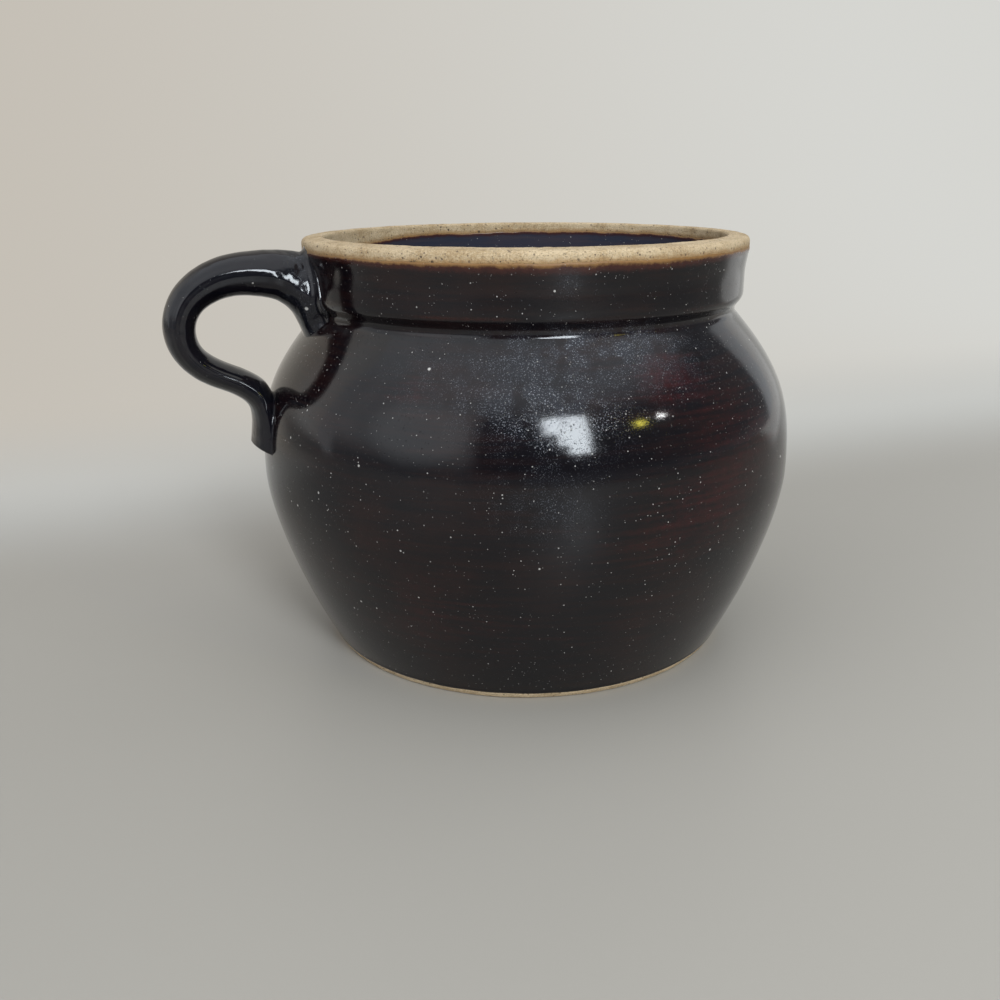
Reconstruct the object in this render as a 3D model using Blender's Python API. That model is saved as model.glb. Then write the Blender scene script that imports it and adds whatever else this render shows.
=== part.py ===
# Hand-thrown stoneware bean crock: a squat pot with an upright collar and a wide mouth, one
# pulled loop handle with a flattened tail, and a dark glaze coat inside and out.
# Metres, +Z up. The origin is the middle of the flat foot, and the handle lies along -X.
# Outlines are drawn as (radius, height) and turned about the Z axis.

import math

import bmesh
import bpy
from mathutils import Vector
from mathutils.geometry import interpolate_bezier

# Outside of the thrown pot
HEIGHT = 0.133                  # flat foot to the top of the lip
FOOT_RADIUS = 0.0679
BELLY_RADIUS = 0.0881           # widest point of the outside
BELLY_HEIGHT = 0.060            # height of that point above the foot
COLLAR_RADIUS = 0.07065         # upright collar above the neck groove
COLLAR_DEPTH = 0.0226           # top of the lip down to the bottom of the neck groove
GROOVE_DEPTH = 0.0021           # how far the groove lies inside the collar
GROOVE_ROUND = 0.0027           # radius at the bottom of the groove
COLLAR_TUCK = 0.0054            # height over which the collar turns in to the groove
LIP_FLARE = 0.0010              # how far the lip stands out past the collar
LIP_ROUND = 0.0018              # outer edge of the lip
MOUTH_ROUND = 0.0010            # inner edge of the lip
FOOT_BEVEL = 0.0006             # edge between the flat foot and the wall

# How full the wall's curves are: angles in degrees from upright, pulls as shares of a height
FOOT_FLARE = 29.0
SHOULDER_SLOPE = 41.8
FOOT_PULL = 0.35
LOWER_BELLY_PULL = 0.24
UPPER_BELLY_PULL = 0.43
SHOULDER_PULL = 0.50

# Walls
COLLAR_WALL = 0.0060            # collar to mouth
BELLY_WALL = 0.0065
FLOOR_THICKNESS = 0.0075
THROAT_ROUND = 0.0030           # inside edge where the mouth opens into the belly
FLOOR_ROUND = 0.0120            # inside corner between wall and floor

# Glaze coats
GLAZE = 0.0006                  # thickness of a coat
FIT = 0.0003                    # gap between touching pieces
BARE_OUTSIDE = 0.0040           # bare clay from the top of the lip down the outside
BARE_INSIDE = 0.0032            # bare clay from the top of the lip down the inside
BARE_FOOT = 0.0010              # bare clay at the foot

# Pulled handle
LOOP_REACH = 0.0265             # outermost face of the loop past the belly
CROWN_DROP = 0.0031             # top of the lip down to the highest point of the strap
LOOP_HEIGHT = 0.0426            # that point down to the underside of the loop
TAIL_LENGTH = 0.0166            # underside of the loop down to the cut end of the tail
TAIL_THICKNESS = 0.0048         # how far the tail stands off the belly
STRAP_WIDTH = 0.0158            # across the strap, at its outermost
STRAP_DEPTH = 0.0097            # through the strap, at its outermost
STRAP_RIDGE = 0.25              # how far the strap's edges are drawn to a ridge, 0 for an oval

# Facets
TURN_FACETS = 48
STRAP_FACETS = 16
STRAP_STEPS = 4                 # rings of points in each stretch of the strap
SHORTEST_EDGE = 0.0004          # points closer than this to a cut in an outline are left out
SMOOTH_ANGLE = math.radians(35)

# Sizes that follow from those above
SKIN = GLAZE + FIT
LIP_RADIUS = COLLAR_RADIUS + LIP_FLARE
MOUTH_RADIUS = COLLAR_RADIUS - COLLAR_WALL
NECK_RADIUS = COLLAR_RADIUS - GROOVE_DEPTH
NECK_HEIGHT = HEIGHT - COLLAR_DEPTH


def clear_scene():
    for old in list(bpy.data.objects):
        bpy.data.objects.remove(old, do_unlink=True)


# Lines in the (radius, height) plane

def curve(start, start_pull, end, end_pull, steps):
    """A curve between two points, pulled out of each by a vector."""
    return interpolate_bezier(start, start + start_pull, end + end_pull, end, steps + 1)


def corner(start, point, end, steps):
    """A rounded corner that stands for a sharp one at a point."""
    return curve(start, (point - start) * 0.6, end, (point - end) * 0.6, steps)


def crossing(line, axis, value):
    """Where a line first passes a radius (axis 0) or a height (axis 1)."""
    for a, b in zip(line, line[1:]):
        if a[axis] != b[axis] and (a[axis] - value) * (b[axis] - value) <= 0:
            return a.lerp(b, (value - a[axis]) / (b[axis] - a[axis]))
    raise ValueError("the line never passes that value")


def above(line, height):
    """The part of a falling line above a height."""
    return [point for point in line if point.y > height + SHORTEST_EDGE] + [crossing(line, 1, height)]


def below(line, height):
    """The part of a falling line below a height."""
    return [crossing(line, 1, height)] + [point for point in line if point.y < height - SHORTEST_EDGE]


def shorten(line, distance):
    """A line with a length taken off its start."""
    for index, (a, b) in enumerate(zip(line, line[1:])):
        step = (b - a).length
        if step > distance:
            return [a.lerp(b, distance / step)] + line[index + 1:]
        distance -= step
    raise ValueError("the line is shorter than that")


def shift(line, distance):
    """A line moved sideways, to the right of the way it runs, with every stretch kept parallel."""
    sides = [Vector((b.y - a.y, a.x - b.x)).normalized() for a, b in zip(line, line[1:])]
    moved = []
    for point, one, other in zip(line, sides[:1] + sides, sides + sides[-1:]):
        moved.append(point + (one + other) * (distance / (1 + one.dot(other))))
    return moved


# Outlines of the pot

def belly_line():
    """Outside wall from the shoulder, below the groove, down to the foot."""
    slope = math.radians(SHOULDER_SLOPE)
    flare = math.radians(FOOT_FLARE)
    out = NECK_RADIUS + GROOVE_ROUND * (1 - math.cos(slope))
    shoulder = Vector((out, NECK_HEIGHT - GROOVE_ROUND * math.sin(slope)))
    belly = Vector((BELLY_RADIUS, BELLY_HEIGHT))
    foot = Vector((FOOT_RADIUS, 0))
    drop = shoulder.y - belly.y
    down_shoulder = Vector((math.sin(slope), -math.cos(slope))) * (SHOULDER_PULL * drop)
    up_belly = Vector((0, UPPER_BELLY_PULL * drop))
    down_belly = Vector((0, -LOWER_BELLY_PULL * BELLY_HEIGHT))
    up_foot = Vector((math.sin(flare), math.cos(flare))) * (FOOT_PULL * BELLY_HEIGHT)
    upper = curve(shoulder, down_shoulder, belly, up_belly, 7)
    lower = curve(belly, down_belly, foot, up_foot, 6)
    return upper + lower[1:]


def collar_line():
    """Outside of the lip and the collar, down to the bottom of the neck groove."""
    edge = Vector((LIP_RADIUS - LIP_ROUND, HEIGHT))
    lip = Vector((LIP_RADIUS, HEIGHT - LIP_ROUND))
    neck = Vector((NECK_RADIUS, NECK_HEIGHT))
    tuck = Vector((COLLAR_RADIUS, NECK_HEIGHT + COLLAR_TUCK))
    side = Vector((COLLAR_RADIUS, (lip.y + neck.y) / 2))
    flare_pull = Vector((0, (lip.y - side.y) * 0.4))
    tuck_pull = Vector((0, COLLAR_TUCK * 0.4))
    line = corner(edge, Vector((LIP_RADIUS, HEIGHT)), lip, 3)
    line += curve(lip, -flare_pull, side, flare_pull, 2)[1:]
    line += curve(tuck, -tuck_pull, neck, tuck_pull, 3)
    return line


def outside_line():
    return collar_line() + belly_line()


def inside_line():
    """Mouth, throat, belly and floor, from the lip's inner edge to the middle of the floor."""
    slope = math.radians(SHOULDER_SLOPE)
    belly = shift(belly_line(), BELLY_WALL)
    upward = Vector((-math.sin(slope), math.cos(slope))) * COLLAR_RADIUS
    belly = [belly[0] + upward] + belly[1:]
    throat = crossing(belly, 0, MOUTH_RADIUS)
    wall = [throat] + [point for point in belly if FLOOR_THICKNESS < point.y < throat.y]
    floor_corner = crossing(belly, 1, FLOOR_THICKNESS)
    wall = shorten(wall + [floor_corner], THROAT_ROUND)
    wall = shorten(wall[::-1], FLOOR_ROUND)[::-1]
    mouth_edge = Vector((MOUTH_RADIUS + MOUTH_ROUND, HEIGHT))
    mouth = Vector((MOUTH_RADIUS, HEIGHT - MOUTH_ROUND))
    line = corner(mouth_edge, Vector((MOUTH_RADIUS, HEIGHT)), mouth, 2)
    line += corner(Vector((MOUTH_RADIUS, throat.y + THROAT_ROUND)), throat, wall[0], 2)
    line += wall[1:-1]
    line += corner(wall[-1], floor_corner, floor_corner - Vector((FLOOR_ROUND, 0)), 4)
    return line + [Vector((0, FLOOR_THICKNESS))]


def glazed_outside():
    """The stretch of the outside that the glaze covers, top to bottom."""
    return below(above(outside_line(), BARE_FOOT), HEIGHT - BARE_OUTSIDE)


def glazed_inside():
    """The stretch of the inside that the glaze covers, from the mouth to the floor's middle."""
    return below(inside_line(), HEIGHT - BARE_INSIDE)


def outside_coat_line():
    """Outer face of the outside coat, clear of the bare clay at both ends."""
    return shorten(shorten(glazed_outside(), FIT)[::-1], FIT)[::-1]


def foot_line():
    """Bare foot, from the end of the glaze round the bevel to the axis."""
    bevel = [crossing(outside_line(), 1, FOOT_BEVEL), Vector((FOOT_RADIUS - FOOT_BEVEL, 0))]
    return bevel + [Vector((0, 0))]


def clay_outline():
    """The clay alone: up the inside, over the lip, down the outside and under the foot."""
    mouth = above(inside_line(), HEIGHT - BARE_INSIDE)
    lip = above(outside_line(), HEIGHT - BARE_OUTSIDE)
    foot_edge = crossing(outside_line(), 1, BARE_FOOT)
    outline = shift(glazed_inside(), -SKIN)[::-1]
    outline += mouth[::-1]
    outline += lip
    outline += shift(glazed_outside(), SKIN)
    return outline + [foot_edge] + foot_line()


def seat_outline():
    """The clay pot with its hollow filled, grown by the fitting gap: the handle is cut to it."""
    lip = shift(above(outside_line(), HEIGHT - BARE_OUTSIDE + FIT), -FIT)
    wall = shift(outside_coat_line(), GLAZE)
    return [Vector((0, HEIGHT + FIT))] + lip + wall + [Vector((0, 0))]


# Solids

def finish(mesh, colour_material):
    mesh.shade_smooth()
    mesh.set_sharp_from_angle(angle=SMOOTH_ANGLE)
    mesh.materials.append(colour_material)


def place(name, mesh):
    piece = bpy.data.objects.new(name, mesh)
    bpy.context.scene.collection.objects.link(piece)
    return piece


def turned(name, outline, colour_material, closed=False):
    """A solid turned about the Z axis from an outline that is closed or ends on the axis."""
    shape = bmesh.new()
    points = [shape.verts.new((point.x, 0, point.y)) for point in outline]
    pairs = list(zip(points, points[1:]))
    if closed:
        pairs.append((points[-1], points[0]))
    edges = [shape.edges.new(pair) for pair in pairs]
    bmesh.ops.spin(shape, geom=points + edges, axis=(0, 0, 1), cent=(0, 0, 0),
                   angle=math.tau, steps=TURN_FACETS, use_merge=True)
    bmesh.ops.remove_doubles(shape, verts=shape.verts, dist=1e-6)
    bmesh.ops.recalc_face_normals(shape, faces=shape.faces)
    mesh = bpy.data.meshes.new(name)
    shape.to_mesh(mesh)
    shape.free()
    finish(mesh, colour_material)
    return place(name, mesh)


def lofted(name, rings, colour_material):
    """A solid skinned over rings of points, with a flat cap at each end."""
    shape = bmesh.new()
    loops = [[shape.verts.new(point) for point in ring] for ring in rings]
    for near, far in zip(loops, loops[1:]):
        for index in range(len(near)):
            after = (index + 1) % len(near)
            shape.faces.new((near[index], near[after], far[after], far[index]))
    shape.faces.new(loops[0])
    shape.faces.new(loops[-1])
    bmesh.ops.recalc_face_normals(shape, faces=shape.faces)
    mesh = bpy.data.meshes.new(name)
    shape.to_mesh(mesh)
    shape.free()
    finish(mesh, colour_material)
    return place(name, mesh)


def cut(piece, cutter):
    """Take a guide solid away from a piece. The guide itself is not part of the crock."""
    cutter.hide_render = True
    cutter.display_type = 'WIRE'
    change = piece.modifiers.new("cut_" + cutter.name, 'BOOLEAN')
    change.operation = 'DIFFERENCE'
    change.solver = 'EXACT'
    change.object = cutter


# Handle

def handle_knots():
    """Knots of the strap's outer line: distance from the axis, height, depth and width there.

    The shares run from the collar to the loop's furthest point, and from the crown down to
    the underside of the loop. The tail follows the belly wall.
    """
    reach = BELLY_RADIUS + LOOP_REACH - COLLAR_RADIUS
    crown = HEIGHT - CROWN_DROP
    underside = crown - LOOP_HEIGHT
    # share of the reach, share of the drop, depth and width in straps
    loop = [(-0.10, 0.030, 2.90, 1.25),     # buried in the collar
            (-0.01, 0.030, 2.72, 1.22),     # root
            (0.08, 0.022, 1.97, 1.14),
            (0.19, 0.006, 1.54, 1.08),
            (0.37, 0.000, 1.41, 1.04),      # crown
            (0.62, 0.040, 1.24, 1.00),
            (0.90, 0.228, 1.08, 1.00),
            (1.00, 0.509, 1.00, 1.00),      # furthest out
            (0.87, 0.843, 0.95, 1.00),
            (0.59, 1.000, 0.89, 1.06)]      # underside
    # share of the tail's length, share of its thickness, depth and width in straps
    tail = [(0.28, 1.28, 0.96, 1.28),
            (0.60, 1.03, 0.94, 1.38),
            (1.00, 1.00, 0.92, 1.42)]       # cut end
    knots = []
    for out, down, depth, width in loop:
        knots.append(Vector((COLLAR_RADIUS + out * reach, crown - down * LOOP_HEIGHT,
                             depth * STRAP_DEPTH, width * STRAP_WIDTH)))
    for down, thickness, depth, width in tail:
        height = underside - down * TAIL_LENGTH
        wall = crossing(outside_line(), 1, height).x
        knots.append(Vector((wall + thickness * TAIL_THICKNESS, height,
                             depth * STRAP_DEPTH, width * STRAP_WIDTH)))
    return knots


def through(knots, steps):
    """Points on a smooth curve through every knot, with each stretch in equal steps."""
    padded = [knots[0] * 2 - knots[1]] + knots + [knots[-1] * 2 - knots[-2]]
    points = []
    for before, start, end, after in zip(padded, padded[1:], padded[2:], padded[3:]):
        for step in range(steps):
            t = step / steps
            bend = before * 2 - start * 5 + end * 4 - after
            twist = start * 3 - before - end * 3 + after
            points.append((start * 2 + (end - before) * t + bend * t ** 2 + twist * t ** 3) / 2)
    return points + [knots[-1]]


def handle_rings(grow):
    """Rings across the strap, from inside the collar to the tail's cut end, grown all round."""
    stations = through(handle_knots(), STRAP_STEPS)
    rings = []
    for index, station in enumerate(stations):
        behind = stations[max(index - 1, 0)]
        ahead = stations[min(index + 1, len(stations) - 1)]
        along = (ahead - behind).to_2d().normalized()
        inward = Vector((along.y, -along.x))
        half_depth = station[2] / 2
        middle = station.to_2d() + inward * half_depth
        if index == len(stations) - 1:
            middle += along * grow
        ring = []
        for facet in range(STRAP_FACETS):
            angle = math.tau * facet / STRAP_FACETS
            rise = math.copysign(abs(math.sin(angle)) ** (1 + STRAP_RIDGE), math.sin(angle))
            point = middle - inward * rise * (half_depth + grow)
            side = math.cos(angle) * (station[3] / 2 + grow)
            ring.append(Vector((-point.x, side, point.y)))
        rings.append(ring)
    return rings


# Materials, as linear colours

def surface(name, colour, roughness, coat):
    made = bpy.data.materials.new(name)
    made.use_nodes = True
    shader = made.node_tree.nodes["Principled BSDF"]
    shader.inputs["Base Color"].default_value = (*colour, 1)
    shader.inputs["Roughness"].default_value = roughness
    shader.inputs["Metallic"].default_value = 0
    shader.inputs["Coat Weight"].default_value = coat
    made.diffuse_color = (*colour, 1)
    return made


def bare_stoneware():
    return surface("bare_stoneware", (0.38, 0.24, 0.12), 0.85, 0)


def outside_slip_glaze():
    return surface("outside_slip_glaze", (0.014, 0.008, 0.008), 0.16, 0.4)


def inside_slip_glaze():
    return surface("inside_slip_glaze", (0.012, 0.009, 0.012), 0.14, 0.4)


def handle_slip_glaze():
    return surface("handle_slip_glaze", (0.013, 0.008, 0.009), 0.18, 0.4)


# Pieces

def make_crock_body():
    return turned("crock_body", clay_outline(), bare_stoneware())


def make_outside_glaze():
    outer = outside_coat_line()
    return turned("outside_glaze", outer + shift(outer, GLAZE)[::-1], outside_slip_glaze(), closed=True)


def make_inside_glaze():
    inner = shorten(glazed_inside(), FIT)
    return turned("inside_glaze", inner[::-1] + shift(inner, -GLAZE), inside_slip_glaze())


def make_handle():
    return lofted("handle", handle_rings(0), handle_slip_glaze())


def main():
    clear_scene()
    body = make_crock_body()
    outside = make_outside_glaze()
    inside = make_inside_glaze()
    handle = make_handle()
    seat = turned("handle_seat_guide", seat_outline(), bare_stoneware())
    opening = lofted("glaze_opening_guide", handle_rings(FIT), handle_slip_glaze())
    cut(handle, seat)
    cut(outside, opening)
    for piece in (outside, inside, handle):
        piece.parent = body


main()
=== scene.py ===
# Hand-thrown stoneware bean crock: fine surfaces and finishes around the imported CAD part.
# Metres, +Z up. The flat foot stands at z = 0 on the pot's axis, and the handle lies along -X.
import math

import bpy
import numpy as np
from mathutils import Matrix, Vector


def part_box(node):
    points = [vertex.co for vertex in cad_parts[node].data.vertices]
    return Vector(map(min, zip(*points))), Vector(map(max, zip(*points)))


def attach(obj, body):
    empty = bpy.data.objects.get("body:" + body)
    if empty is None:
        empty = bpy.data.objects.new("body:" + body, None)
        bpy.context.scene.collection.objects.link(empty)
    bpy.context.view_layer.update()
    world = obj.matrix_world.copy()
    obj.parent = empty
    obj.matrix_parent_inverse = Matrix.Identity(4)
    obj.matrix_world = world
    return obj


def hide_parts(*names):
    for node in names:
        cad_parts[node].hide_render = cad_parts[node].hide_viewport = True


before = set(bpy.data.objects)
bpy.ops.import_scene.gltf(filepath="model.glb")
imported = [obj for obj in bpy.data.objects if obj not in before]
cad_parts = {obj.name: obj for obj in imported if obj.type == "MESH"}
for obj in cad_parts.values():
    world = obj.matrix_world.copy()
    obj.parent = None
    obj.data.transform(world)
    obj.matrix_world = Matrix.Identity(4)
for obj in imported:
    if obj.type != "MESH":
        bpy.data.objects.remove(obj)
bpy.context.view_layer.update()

mm = 0.001
print("frame loaded, nodes:", sorted(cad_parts))


# Numbers on arrays

def ease(x, start, end):
    # 0 up to start, 1 from end on, and 3t^2 - 2t^3 between them
    t = np.clip((x - start) / (end - start), 0, 1)
    return t * t * (3 - 2 * t)


def bell(x, middle, width):
    # e to the minus square of the distance from the middle, in widths
    return np.exp(-((x - middle) / width) ** 2)


def lattice(i, j, k, seed):
    # A repeatable number from -1 to 1 for each whole-number corner of space
    n = (i * 73856093 ^ j * 19349663 ^ k * 83492791 ^ seed * 1013904223) & 0xFFFFFFFF
    n = ((n ^ (n >> 13)) * 1274126177) & 0xFFFFFFFF
    n = ((n ^ (n >> 15)) * 668265263) & 0xFFFFFFFF
    return (n ^ (n >> 16)) / 2147483647.5 - 1


def grain(points, size, seed, stretch=(1, 1, 1)):
    # Value noise from -1 to 1: the corners of the cell round each point, blended by smooth steps.
    # size is a cell's length in metres, and stretch makes cells longer along an axis.
    cells = points / (size * np.array(stretch, float)) + 0.37 * seed
    low = np.floor(cells)
    t = cells - low
    t = t * t * t * (t * (t * 6 - 15) + 10)
    i, j, k = (low[..., axis].astype(np.int64) for axis in range(3))
    total = 0
    for di in (0, 1):
        for dj in (0, 1):
            for dk in (0, 1):
                share = np.abs(1 - di - t[..., 0]) * np.abs(1 - dj - t[..., 1]) * np.abs(1 - dk - t[..., 2])
                total = total + share * lattice(i + di, j + dj, k + dk, seed)
    return total


def turnFrom(angle, turn):
    # Degrees round the pot from a direction, from -180 to 180
    return (np.degrees(angle) - turn + 180) % 360 - 180


def roundTurn(columns):
    # Angles of the columns round the pot, as one row
    return (np.arange(columns) / columns * math.tau)[None, :]


# Lines in the (radius, height) plane, as arrays with one point a row

def curve(start, startPull, end, endPull, count):
    # Cubic Bezier between two points, pulled out of each by a vector
    a, d = np.array(start, float), np.array(end, float)
    b, c = a + startPull, d + endPull
    t = np.linspace(0, 1, count)[:, None]
    return a * (1 - t) ** 3 + 3 * b * t * (1 - t) ** 2 + 3 * c * t * t * (1 - t) + d * t ** 3


def corner(start, point, end, count):
    # Rounded: each end is pulled 0.6 of the way to the sharp point, which is close to an arc
    start, point, end = (np.array(place, float) for place in (start, point, end))
    return curve(start, (point - start) * 0.6, end, (point - end) * 0.6, count)


def straight(start, end, count):
    # Even steps from start to end
    t = np.linspace(0, 1, count)[:, None]
    return np.array(start, float) * (1 - t) + np.array(end, float) * t


class Outline:
    # A line made of named stretches, with the place and the outward side at any length along it.
    # It runs up the inside, over the lip and down the outside, so outward is always to its left.

    def __init__(self, stretches):
        # owner is the stretch of each point, and a point that repeats the one before it is dropped
        points = np.concatenate([part for _, part in stretches])
        owner = np.concatenate([np.full(len(part), index) for index, (_, part) in enumerate(stretches)])
        steps = np.linalg.norm(np.diff(points, axis=0), axis=1)
        kept = np.concatenate([[True], steps > 1e-6])
        self.points, owner = points[kept], owner[kept]
        steps = np.linalg.norm(np.diff(self.points, axis=0), axis=1)
        self.lengths = np.concatenate([[0], np.cumsum(steps)])
        self.end = {name: self.lengths[owner == index].max() for index, (name, _) in enumerate(stretches)}
        along = np.gradient(self.points, self.lengths, axis=0)
        along /= np.linalg.norm(along, axis=1)[:, None]
        self.sides = np.stack([-along[:, 1], along[:, 0]], axis=1)
        self.inside = (self.lengths >= self.end["floorCorner"]) & (self.lengths <= self.end["hollow"])
        self.outside = (self.lengths >= self.end["lipTop"]) & (self.lengths <= self.end["footBevel"])

    def at(self, length, rise=0):
        # radius and height at a length, lifted off the line by a rise
        radius, height, out, up = (np.interp(length, self.lengths, column)
                                   for column in (*self.points.T, *self.sides.T))
        size = np.hypot(out, up)
        return radius + rise * out / size, height + rise * up / size

    def where(self, height, part):
        # length at which the inside or the outside passes a height
        order = np.argsort(self.points[part, 1])
        return np.interp(height, self.points[part, 1][order], self.lengths[part][order])


# The thrown pot that all four pieces share

pot = {
    "height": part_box("crock_body")[1].z,
    "footRadius": 67.9 * mm,
    "bellyRadius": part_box("outside_glaze")[1].x,
    "bellyHeight": 60 * mm,
    "collarRadius": 70.65 * mm,
    "collarDepth": 22.8 * mm,         # top of the lip down to the bottom of the neck groove
    "grooveDepth": 3.2 * mm,          # to the corner it has before rounding
    "grooveRound": 2.2 * mm,          # from that corner to where the rounding starts
    "collarTuck": 4.2 * mm,           # height over which the collar turns in to the groove
    "tuckRound": 1.2 * mm,
    "lipFlare": 1.0 * mm,             # how far the lip stands out past the collar
    "lipRound": 1.8 * mm,
    "lipFall": 0.30 * mm,             # how much lower the lip's outer edge lies than its inner one
    "mouthRound": 1.0 * mm,
    "footBevel": 0.6 * mm,
    "collarWall": 6.0 * mm,
    "bellyWall": 6.5 * mm,
    "floorThickness": 7.5 * mm,
    "throatRound": 3.0 * mm,
    "floorRound": 12.0 * mm,
    "footFlare": 29.0,                # degrees from upright, at the foot
    "shoulderSlope": 41.8,            # and just under the groove
    "footPull": 0.35,                 # pulls are shares of a height
    "lowerBellyPull": 0.24,
    "upperBellyPull": 0.43,
    "shoulderPull": 0.50,
    "bareOutside": 3.4 * mm,          # bare clay from the top of the lip down to the glaze
    "bareInside": 3.0 * mm,
    "bareFoot": 1.8 * mm,
    "ovalness": [(2, 0.0016, 0.6), (3, 0.0009, 2.0), (5, 0.0003, 4.1)],   # waves, share of radius, phase
    "rimTilt": 0.0050,                # rise of the rim for each metre across it
    "tiltAngle": -20.0,               # direction of its high side, from +X
    "tiltStart": 20 * mm,             # the pot stands true up to here
}


def neckCorner():
    # The corner that the neck groove would have without its rounding
    return np.array([pot["collarRadius"] - pot["grooveDepth"], pot["height"] - pot["collarDepth"]])


def bellyLine():
    # Two Bezier stretches: shoulder to belly, then belly to foot
    slope, flare = math.radians(pot["shoulderSlope"]), math.radians(pot["footFlare"])
    downSlope = np.array([math.sin(slope), -math.cos(slope)])
    shoulder = neckCorner() + downSlope * pot["grooveRound"]
    belly = (pot["bellyRadius"], pot["bellyHeight"])
    foot = (pot["footRadius"], 0)
    drop = shoulder[1] - belly[1]
    downShoulder = downSlope * pot["shoulderPull"] * drop
    upFoot = np.array([math.sin(flare), math.cos(flare)]) * pot["footPull"] * belly[1]
    upper = curve(shoulder, downShoulder, belly, (0, pot["upperBellyPull"] * drop), 160)
    lower = curve(belly, (0, -pot["lowerBellyPull"] * belly[1]), foot, upFoot, 160)
    return np.concatenate([upper, lower[1:]])


def insideLines():
    # Floor and its rounded corner, then wall, throat and mouth up to the lip. The wall is the belly
    # line moved in by its thickness, between the floor and the mouth's radius.
    mouth = pot["collarRadius"] - pot["collarWall"]
    belly = bellyLine()
    along = np.gradient(belly, axis=0)
    along /= np.linalg.norm(along, axis=1)[:, None]
    wall = belly + np.stack([along[:, 1], -along[:, 0]], axis=1) * pot["bellyWall"]
    wall = wall[(wall[:, 0] > mouth) & (wall[:, 1] > pot["floorThickness"])][::-1]
    floorCorner, throat = wall[0], wall[-1]
    fromCorner = np.linalg.norm(wall - floorCorner, axis=1)
    fromThroat = np.linalg.norm(wall - throat, axis=1)
    wall = wall[(fromCorner > pot["floorRound"]) & (fromThroat > pot["throatRound"])]
    floorEdge = floorCorner - (pot["floorRound"], 0)
    top = pot["height"]
    return [
        ("floor", straight((0, pot["floorThickness"]), floorEdge, 60)),
        ("floorCorner", corner(floorEdge, floorCorner, wall[0], 40)),
        ("hollow", np.concatenate([
            wall[1:-1],
            corner(wall[-1], throat, (mouth, throat[1] + pot["throatRound"]), 24),
            corner((mouth, top - pot["mouthRound"]), (mouth, top), (mouth + pot["mouthRound"], top), 20)]))]


def lipTopLine():
    # From the edge of the mouth outwards: level at both ends, and a little lower at the outer one
    inner = (pot["collarRadius"] - pot["collarWall"] + pot["mouthRound"], pot["height"])
    outer = (pot["collarRadius"] + pot["lipFlare"] - pot["lipRound"], pot["height"] - pot["lipFall"])
    pull = (outer[0] - inner[0]) * 0.35
    return curve(inner, (pull, 0), outer, (-pull, 0), 30)


def outsideLines():
    # Lip and collar, the tuck under it, neck groove, belly and foot bevel, downwards
    foot = pot["footRadius"]
    lipRadius = pot["collarRadius"] + pot["lipFlare"]
    top = pot["height"] - pot["lipFall"]
    lip = (lipRadius, top - pot["lipRound"])
    neck = neckCorner()
    tuck = np.array([pot["collarRadius"], neck[1] + pot["collarTuck"]])
    middle = (pot["collarRadius"], (lip[1] + neck[1]) / 2)
    flarePull = np.array([0, (lip[1] - middle[1]) * 0.4])
    under = (tuck - neck) / np.linalg.norm(tuck - neck)
    belly = bellyLine()
    wall = belly[belly[:, 1] > pot["footBevel"]]
    return [
        ("collar", np.concatenate([
            corner((lipRadius - pot["lipRound"], top), (lipRadius, top), lip, 30),
            curve(lip, -flarePull, middle, flarePull, 30),
            straight(middle, tuck + (0, pot["tuckRound"]), 12)])),
        ("tuck", np.concatenate([
            corner(tuck + (0, pot["tuckRound"]), tuck, tuck - under * pot["tuckRound"], 16),
            straight(tuck - under * pot["tuckRound"], neck + under * pot["grooveRound"], 8)])),
        ("groove", corner(neck + under * pot["grooveRound"], neck, wall[0], 24)),
        ("belly", wall[1:]),
        ("footBevel", corner(wall[-1], (foot, 0), (foot - pot["footBevel"], 0), 12))]


wallLine = Outline([
    *insideLines(), ("lipTop", lipTopLine()), *outsideLines(),
    ("underside", straight((pot["footRadius"] - pot["footBevel"], 0), (0, 0), 60))])


def handThrown(points):
    # Every piece goes through this same change, so none comes loose from another. The radius
    # swells by waves round the pot, and the rim leans to one side, both more with height.
    x, y, z = points[..., 0], points[..., 1], points[..., 2]
    angle = np.arctan2(y, x)
    rise = ease(z, pot["tiltStart"], pot["height"])
    waves = sum(height * np.cos(turns * angle + phase) for turns, height, phase in pot["ovalness"])
    swell = 1 + rise * waves
    lean = math.radians(pot["tiltAngle"])
    lift = pot["rimTilt"] * rise * (x * math.cos(lean) + y * math.sin(lean))
    return np.stack([x * swell, y * swell, z + lift], axis=-1)


def turned(length, rise, angle):
    # Points of the pot's wall at a length along its line and an angle round it
    radius, height = wallLine.at(length, rise)
    return np.stack([radius * np.cos(angle), radius * np.sin(angle), height + 0 * angle], axis=-1)


def wheelMarks(points, seed):
    # Shallow rings left by the fingers: noise in flat, wide cells, so it changes fast up the wall
    # and slowly round it, in two sizes
    return grain(points, 6.0 * mm, seed, (14, 14, 1)) + 0.5 * grain(points, 3.8 * mm, seed + 5, (20, 20, 1))


def lineWaves(angle, radius, seed):
    # How far a glaze line wanders, from -1 to 1: slow waves, scallops and a ragged edge
    ring = np.stack([radius * np.cos(angle), radius * np.sin(angle), 0 * angle], axis=-1)
    waves = 0.6 * grain(ring, 17 * mm, seed) + 0.45 * grain(ring, 5.5 * mm, seed + 1)
    return waves + 0.2 * grain(ring, 1.8 * mm, seed + 2)


def evenRows(start, stretches):
    # Lengths in rows, from start on. Each stretch is the length where it ends, which may differ
    # round the pot, and the even steps in it.
    rows = []
    for end, count in stretches:
        end = end + 0 * start
        rows.append(start + (end - start) * np.arange(count)[:, None] / count)
        start = end
    return np.concatenate(rows + [start])


# Meshes

def addMesh(name, points, faces, finish):
    mesh = bpy.data.meshes.new(name)
    mesh.from_pydata(points.tolist(), [], faces)
    mesh.shade_smooth()
    mesh.materials.append(finish)
    made = bpy.data.objects.new(name, mesh)
    bpy.context.scene.collection.objects.link(made)
    return made


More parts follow.
